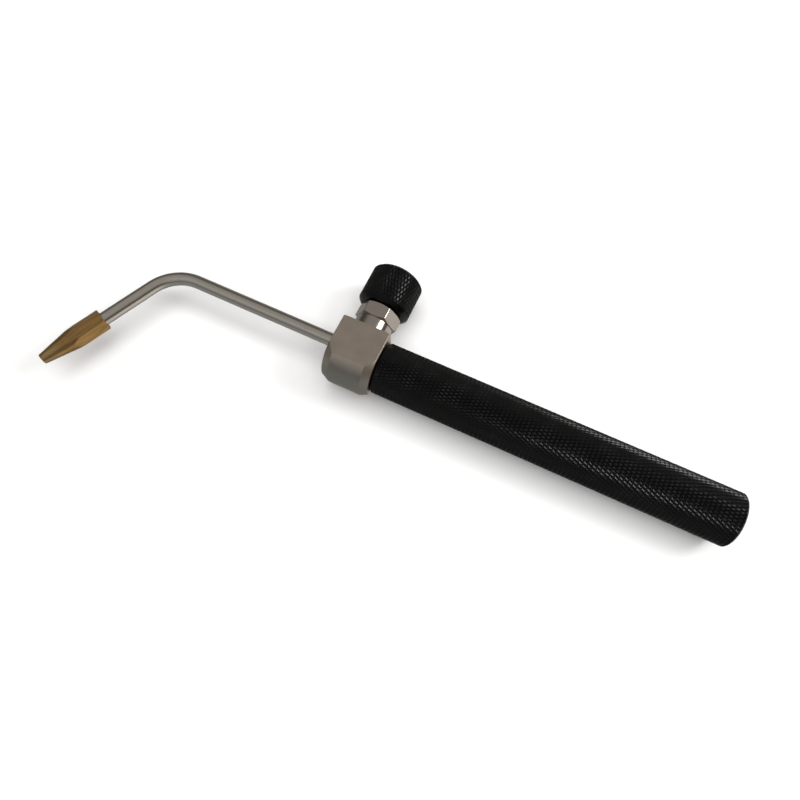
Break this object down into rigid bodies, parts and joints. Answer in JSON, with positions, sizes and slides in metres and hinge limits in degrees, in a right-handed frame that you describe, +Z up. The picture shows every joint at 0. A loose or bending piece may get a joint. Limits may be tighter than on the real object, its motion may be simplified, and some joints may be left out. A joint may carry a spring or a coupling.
{
  "type": "lampwork torch",
  "caption": "Hand torch for glass work: knurled black handle, nickel valve block with a knurled side knob, bent neck tube and hexagonal brass nozzle.",
  "frame": {"origin": "on the lower flat of the valve block, under the point where the handle axis and the stem axis cross", "axes": "+X along the handle to its open rear end, +Y along the valve stem to the knob, +Z up from the surface that the torch lies on"},
  "size_m": [0.2534, 0.0892, 0.022],
  "materials": {
    "nozzle": "aged, turned",
    "neck": "polished stainless, slightly dulled",
    "block": "satin nickel plate",
    "bonnet": "bright nickel plate",
    "stem": "turned stainless",
    "anodised": "black anodised, knurled",
    "brass_inner": "turned",
    "gas_tube": "drawn",
    "sintered": "sintered bronze, matt",
    "soft_seal": "white fluoropolymer",
    "rubber_seal": "moulded",
    "fibre_washer": "fibre sheet",
    "screw": "black oxide steel"
  },
  "bodies": {
    "torch_body": {"nozzle": "nozzle", "nozzle_seal": "soft_seal", "neck_tube": "neck", "valve_block": "block", "valve_seat": "soft_seal", "valve_bonnet": "bonnet", "bonnet_washer": "fibre_washer", "handle_sleeve": "anodised", "handle_adapter": "brass_inner", "adapter_washer": "fibre_washer", "gas_tube": "gas_tube", "gas_tube_o_rings": "rubber_seal", "arrestor_housing": "brass_inner", "flame_arrestor": "sintered", "arrestor_washer": "fibre_washer", "hose_barb": "brass_inner", "sleeve_screws": "screw"},
    "stem_seals": {"stem_o_ring": "rubber_seal", "stem_backup_ring": "soft_seal"},
    "knob": {"knob": "anodised", "knob_grub_screw": "screw", "valve_stem": "stem"}
  },
  "joints": [
    {"name": "stem_lift", "type": "slide", "parent": "torch_body", "child": "stem_seals", "axis": [0, 1, 0], "range_m": [0, 0.0025]},
    {"name": "knob_turn", "type": "hinge", "parent": "stem_seals", "child": "knob", "pos_m": [0, 0.029, 0.011], "axis": [0, 1, 0], "range_deg": [0, 900]}
  ],
  "couplings": [
    {"joint": "knob_turn", "follows": "stem_lift", "rad_per_m": 6283.2}
  ]
}
